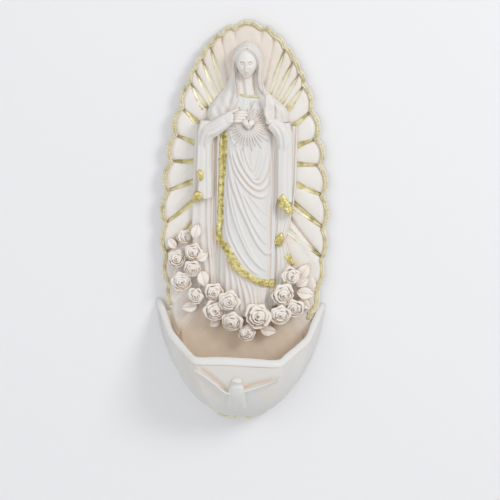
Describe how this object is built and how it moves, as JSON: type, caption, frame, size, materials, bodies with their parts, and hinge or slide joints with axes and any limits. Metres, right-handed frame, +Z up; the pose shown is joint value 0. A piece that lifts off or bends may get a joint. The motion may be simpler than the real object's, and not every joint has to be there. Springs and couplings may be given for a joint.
{
  "type": "holy water stoup",
  "caption": "Wall-hung holy water font: scalloped rayed back plate, veiled relief figure with a radiant heart, a rose garland and a five-sided basin with a dove.",
  "frame": {"origin": "middle of the scalloped back plate, on its wall face", "axes": "+Z up, +Y into the wall, +X to the viewer's right; the figure faces -Y"},
  "size_m": [0.0838, 0.0361, 0.1905],
  "materials": {
    "plate_resin": "matt ivory cast resin with a warm wash",
    "basin_resin": "matt ivory cast resin",
    "figure_resin": "matt ivory cast resin",
    "garland_resin": "matt ivory cast resin with a warm wash",
    "gold_paint": "brushed gold paint, stippled",
    "steel": "zinc-plated"
  },
  "bodies": {
    "root": {"back_plate": "plate_resin", "basin_lip": "basin_resin", "basin_shell": "basin_resin", "dove_body": "figure_resin", "dove_wing_left": "figure_resin", "dove_wing_right": "figure_resin", "forearm_left": "figure_resin", "forearm_right": "figure_resin", "gold_edge_lower": "gold_paint", "gold_edge_upper": "gold_paint", "gold_hem_band": "gold_paint", "gold_patches": "gold_paint", "hair": "figure_resin", "hand_left": "figure_resin", "hand_right": "figure_resin", "hanger_plate": "steel", "hanger_screws": "steel", "head": "figure_resin", "heart": "figure_resin", "heart_flame": "figure_resin", "heart_rays": "figure_resin", "leaves_bottom": "garland_resin", "leaves_left": "garland_resin", "leaves_right": "garland_resin", "mantle_left": "figure_resin", "mantle_right": "figure_resin", "neck": "figure_resin", "neckline_trim": "gold_paint", "overdress": "figure_resin", "rays_left": "gold_paint", "rays_right": "gold_paint", "rose_01": "garland_resin", "rose_02": "garland_resin", "rose_03": "garland_resin", "rose_04": "garland_resin", "rose_05": "garland_resin", "rose_06": "garland_resin", "rose_07": "garland_resin", "rose_08": "garland_resin", "rose_09": "garland_resin", "rose_10": "garland_resin", "rose_11": "garland_resin", "rose_12": "garland_resin", "rose_13": "garland_resin", "rose_14": "garland_resin", "rose_15": "garland_resin", "rose_16": "garland_resin", "sleeve_left": "figure_resin", "sleeve_right": "figure_resin", "tunic": "figure_resin", "veil": "figure_resin"}
  },
  "joints": []
}
